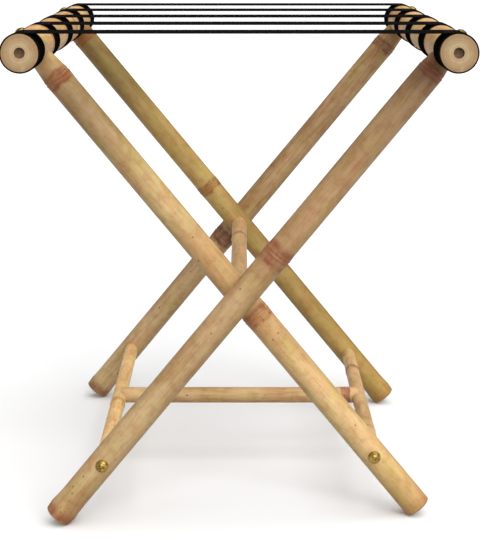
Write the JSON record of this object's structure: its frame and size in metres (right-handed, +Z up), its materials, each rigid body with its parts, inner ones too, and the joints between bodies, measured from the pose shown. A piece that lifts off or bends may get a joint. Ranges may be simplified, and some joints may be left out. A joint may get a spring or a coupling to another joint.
{
  "type": "folding luggage rack",
  "caption": "Bamboo X-frame luggage rack: crossed leg frames on a common pivot, webbing straps between the top rails and a hooked tie bar between the stretchers; folds flat.",
  "frame": {"origin": "on the floor at the centre of the footprint", "axes": "+X across the rack from the left rail to the right one, +Y along the rails from the front end to the rear, +Z up"},
  "size_m": [0.5032, 0.684, 0.5616],
  "materials": {
    "bamboo_rail": "satin lacquer",
    "bamboo_leg": "satin lacquer",
    "bamboo_slim": "satin lacquer",
    "dowel_wood": "plain",
    "bolt_brass": "polished, slightly aged",
    "insert_steel": "zinc plated",
    "pin_steel": "plain",
    "washer_nylon": "plain",
    "strap_webbing": "woven"
  },
  "bodies": {
    "outer_frame": {"rail_right": "bamboo_rail", "leg_outer_front": "bamboo_leg", "leg_outer_rear": "bamboo_leg", "rail_bolts_outer": "bolt_brass", "leg_inserts_outer": "insert_steel", "strap_1": "strap_webbing", "strap_2": "strap_webbing", "strap_3": "strap_webbing", "strap_4": "strap_webbing", "strap_5": "strap_webbing"},
    "inner_frame": {"rail_left": "bamboo_rail", "leg_inner_front": "bamboo_leg", "leg_inner_rear": "bamboo_leg", "pivot_crossbar": "bamboo_slim", "stretcher_right": "bamboo_slim", "rail_bolts_inner": "bolt_brass", "leg_inserts_inner": "insert_steel", "stretcher_bolts_right": "bolt_brass", "stretcher_inserts_right": "insert_steel", "pivot_pin_front": "pin_steel", "pivot_pin_rear": "pin_steel", "pivot_washers": "washer_nylon"},
    "tie_bar_assembly": {"stretcher_left": "bamboo_slim", "tie_bar": "bamboo_slim", "tie_bar_dowel": "dowel_wood", "stretcher_bolts_left": "bolt_brass", "stretcher_inserts_left": "insert_steel"}
  },
  "joints": [
    {"name": "fold", "type": "hinge", "parent": "outer_frame", "child": "inner_frame", "pos_m": [0, 0, 0.26], "axis": [0, 1, 0], "range_deg": [0, 72], "deforming": ["strap_1", "strap_2", "strap_3", "strap_4", "strap_5"]},
    {"name": "tie_bar_swing", "type": "hinge", "parent": "outer_frame", "child": "tie_bar_assembly", "pos_m": [-0.15394, 0, 0.0726], "axis": [0, -1, 0], "range_deg": [0, 43.2]}
  ],
  "couplings": [
    {"joint": "tie_bar_swing", "follows": "fold", "ratio": 0.6}
  ]
}
